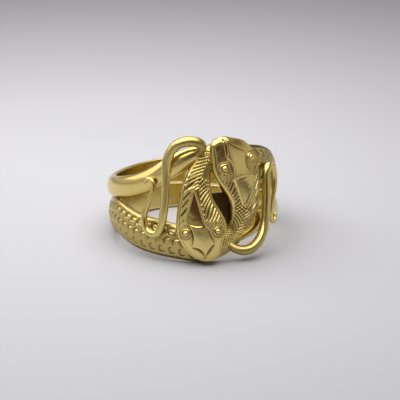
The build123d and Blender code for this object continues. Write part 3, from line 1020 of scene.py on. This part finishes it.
def gold():
    """Yellow gold, worn and polished on the high places, dark in the engraving, and with painted
    shade where the marks give it.
    """
    material = bpy.data.materials.new("gold")
    material.use_nodes = True
    tree = material.node_tree
    tree.nodes.clear()
    output = node(tree, "ShaderNodeOutputMaterial", (900, 0))
    shader = node(tree, "ShaderNodeBsdfPrincipled", (600, 0), Metallic=1.0)
    tree.links.new(shader.outputs[0], output.inputs[0])
    where = node(tree, "ShaderNodeTexCoord", (-1200, 0)).outputs["Object"]

    def noise(kind, place):
        size, detail = kind
        values = {"Scale": 1 / (size * MM), "Detail": detail, "Roughness": NOISE_ROUGHNESS}
        made = node(tree, "ShaderNodeTexNoise", place, **values)
        tree.links.new(where, made.inputs["Vector"])
        return made.outputs["Fac"]

    def mark(name, place):
        made = node(tree, "ShaderNodeAttribute", place, attribute_name=name)
        return made.outputs["Fac"]

    def bump(kind, height, place):
        strength, distance = kind
        made = node(tree, "ShaderNodeBump", place, Strength=strength, Distance=distance)
        tree.links.new(height, made.inputs["Height"])
        return made

    wide = noise(WIDE, (-900, 300))
    small = noise(SMALL, (-900, 100))
    grain = noise(GRAIN, (-900, -100))

    warm = mapped(tree, wide, *TONE, (-600, 300))
    metal = mix(tree, "RGBA", warm, GOLD_COOL, GOLD_WARM, (-400, 300))
    # Patina and painted shade, made uneven by noise
    depth = node(tree, "ShaderNodeMath", (-400, -200), operation="MULTIPLY")
    tree.links.new(mark("patina_and_shade", (-1200, -300)), depth.inputs[0])
    tree.links.new(mapped(tree, small, *DIRTY, (-600, 100)), depth.inputs[1])
    colour = mix(tree, "RGBA", depth.outputs[0], metal, PATINA_AND_SHADE_COLOUR, (-100, 300))
    tree.links.new(colour, shader.inputs["Base Color"])

    worn = mapped(tree, small, *WORN, (-600, -100))
    dull = mix(tree, "FLOAT", depth.outputs[0], worn, DULL_ROUGHNESS, (-200, -100))
    polish = mark("polish", (-1200, -500))
    shine = mix(tree, "FLOAT", polish, dull, POLISHED_ROUGHNESS, (0, -100))
    tree.links.new(shine, shader.inputs["Roughness"])

    dents = bump(DENTS, small, (200, -300))
    scratches = bump(SCRATCHES, grain, (400, -300))
    tree.links.new(dents.outputs[0], scratches.inputs["Normal"])
    tree.links.new(scratches.outputs[0], shader.inputs["Normal"])
    return material


gold_metal = gold()
pieces = []
for name, node_name, parts in (
    (
        "upper_snake_gold",
        "upper_snake",
        [
            strand(UPPER_HEAD, UPPER_SHOULDER, UPPER_SHANK, UPPER_TAIL, 1, UPPER_FACE),
            tube(UPPER_WIRE),
            *eyes(UPPER_HEAD),
        ],
    ),
    (
        "lower_snake_gold",
        "lower_snake",
        [
            strand(LOWER_HEAD, LOWER_SHOULDER, LOWER_SHANK, LOWER_TAIL, -1, LOWER_FACE),
            tube(LOWER_WIRE),
            *eyes(LOWER_HEAD),
            finger_hole_web(),
        ],
    ),
):
    piece = snake(name, parts)
    piece.data.materials.append(gold_metal)
    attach(piece, "root")
    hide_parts(node_name)
    pieces.append(piece)

# Camera: the bezel seen from a little above and from its left
CAMERA_ELEVATION = math.radians(19.6)
CAMERA_AZIMUTH = math.radians(17.5)
CAMERA_DISTANCE = 0.2
PIXELS_PER_MM = 8.43
PICTURE_WIDTH = 400
# The finger hole's middle in the picture, in pixels from its upper left corner
RING_AT = (192.5, 191.0)
SENSOR_WIDTH = 36
CLIP = (0.01, 10)
back = Vector(
    (
        -math.sin(CAMERA_AZIMUTH) * math.cos(CAMERA_ELEVATION),
        -math.cos(CAMERA_AZIMUTH) * math.cos(CAMERA_ELEVATION),
        math.sin(CAMERA_ELEVATION),
    )
)
camera = bpy.data.objects.new("camera", bpy.data.cameras.new("camera"))
bpy.context.scene.collection.objects.link(camera)
camera.location = back * CAMERA_DISTANCE
camera.rotation_euler = back.to_track_quat("Z", "Y").to_euler()
camera.data.sensor_width = SENSOR_WIDTH
camera.data.lens = SENSOR_WIDTH * CAMERA_DISTANCE / (PICTURE_WIDTH / PIXELS_PER_MM * MM)
camera.data.shift_x = (PICTURE_WIDTH / 2 - RING_AT[0]) / PICTURE_WIDTH
camera.data.shift_y = (RING_AT[1] - PICTURE_WIDTH / 2) / PICTURE_WIDTH
camera.data.clip_start, camera.data.clip_end = CLIP
bpy.context.scene.camera = camera
bpy.context.scene.view_settings.view_transform = "Standard"

# Floor: a pale sheet with a painted fall-off of light, brightest at a place behind the ring and
# greyer away from it
FLOOR_SIZE = 1.2
PAPER_LIT = (0.44, 0.445, 0.475, 1)
PAPER_SHADED = (0.29, 0.295, 0.325, 1)
PAPER_MIDDLE = (0, 0.04)
PAPER_LIGHT_FADE = (0.017, 0.117)
PAPER_ROUGHNESS = 0.8
lowest = min(cad_box[0].z, min(v.co.z for p in pieces for v in p.data.vertices))
floor_mesh = bpy.data.meshes.new("floor")
side = FLOOR_SIZE / 2
floor_mesh.from_pydata(
    [(-side, -side, lowest), (side, -side, lowest), (side, side, lowest), (-side, side, lowest)],
    [],
    [(0, 1, 2, 3)],
)
floor = bpy.data.objects.new("floor", floor_mesh)
bpy.context.scene.collection.objects.link(floor)
paper = bpy.data.materials.new("paper")
paper.use_nodes = True
sheet = paper.node_tree
paper_shader = sheet.nodes["Principled BSDF"]
paper_shader.inputs["Roughness"].default_value = PAPER_ROUGHNESS
paper_place = node(sheet, "ShaderNodeTexCoord", (-900, 0)).outputs["Object"]
away = node(sheet, "ShaderNodeVectorMath", (-700, 0), operation="DISTANCE")
away.inputs[1].default_value = (*PAPER_MIDDLE, lowest)
sheet.links.new(paper_place, away.inputs[0])
shaded_share = mapped(sheet, away.outputs["Value"], *PAPER_LIGHT_FADE, 0.0, 1.0, (-500, 0))
paper_colour = mix(sheet, "RGBA", shaded_share, PAPER_LIT, PAPER_SHADED, (-300, 0))
sheet.links.new(paper_colour, paper_shader.inputs["Base Color"])
floor.data.materials.append(paper)


def softbox(name, place, width, length, power):
    """A soft light at this place that faces the ring."""
    light = bpy.data.lights.new(name, "AREA")
    light.shape = "RECTANGLE"
    light.size = width
    light.size_y = length
    light.energy = power
    made = bpy.data.objects.new(name, light)
    bpy.context.scene.collection.objects.link(made)
    made.location = place
    made.rotation_euler = Vector(place).to_track_quat("Z", "Y").to_euler()


softbox("top", (-0.015, 0.0, 0.10), width=0.20, length=0.18, power=0.33)
softbox("left", (-0.22, 0.10, 0.17), width=0.28, length=0.22, power=0.24)
softbox("right", (0.34, 0.12, 0.14), width=0.25, length=0.20, power=0.05)

# The room: bright and pale near the floor, duller above, with a dark, warm part in front
ROOM_LOW = (0.58, 0.56, 0.54, 1)
ROOM_HIGH = (0.20, 0.155, 0.115, 1)
ROOM_DARK = (0.085, 0.045, 0.045, 1)
DARK_TOWARD = math.radians(-9)
# The dark part's sides, its lower and its upper edge, and the pale room's fade upwards, as
# shares of a direction whose length is one
DARK_SIDES = (0.78, 0.94)
DARK_LOW = (0.00, 0.05)
DARK_HIGH = (0.32, 0.50)
ROOM_FADE = (0.10, 0.45)
world = bpy.data.worlds.new("room")
bpy.context.scene.world = world
world.use_nodes = True
room = world.node_tree
background = room.nodes["Background"]
toward = node(room, "ShaderNodeTexCoord", (-1000, 0)).outputs["Generated"]
facing = node(room, "ShaderNodeVectorMath", (-800, 100), operation="DOT_PRODUCT")
facing.inputs[1].default_value = (math.sin(DARK_TOWARD), -math.cos(DARK_TOWARD), 0)
room.links.new(toward, facing.inputs[0])
rise = node(room, "ShaderNodeSeparateXYZ", (-800, -100))
room.links.new(toward, rise.inputs[0])
in_front = mapped(room, facing.outputs["Value"], *DARK_SIDES, 0.0, 1.0, (-600, 200))
above_floor = mapped(room, rise.outputs["Z"], *DARK_LOW, 0.0, 1.0, (-600, 0))
not_high = mapped(room, rise.outputs["Z"], *DARK_HIGH, 1.0, 0.0, (-600, -200))
dark = in_front
for share in (above_floor, not_high):
    times = node(room, "ShaderNodeMath", (-400, 0), operation="MULTIPLY")
    room.links.new(dark, times.inputs[0])
    room.links.new(share, times.inputs[1])
    dark = times.outputs[0]
height_share = mapped(room, rise.outputs["Z"], *ROOM_FADE, 0.0, 1.0, (-600, -400))
pale = mix(room, "RGBA", height_share, ROOM_LOW, ROOM_HIGH, (-400, -300))
room.links.new(mix(room, "RGBA", dark, pale, ROOM_DARK, (-150, 0)), background.inputs[0])
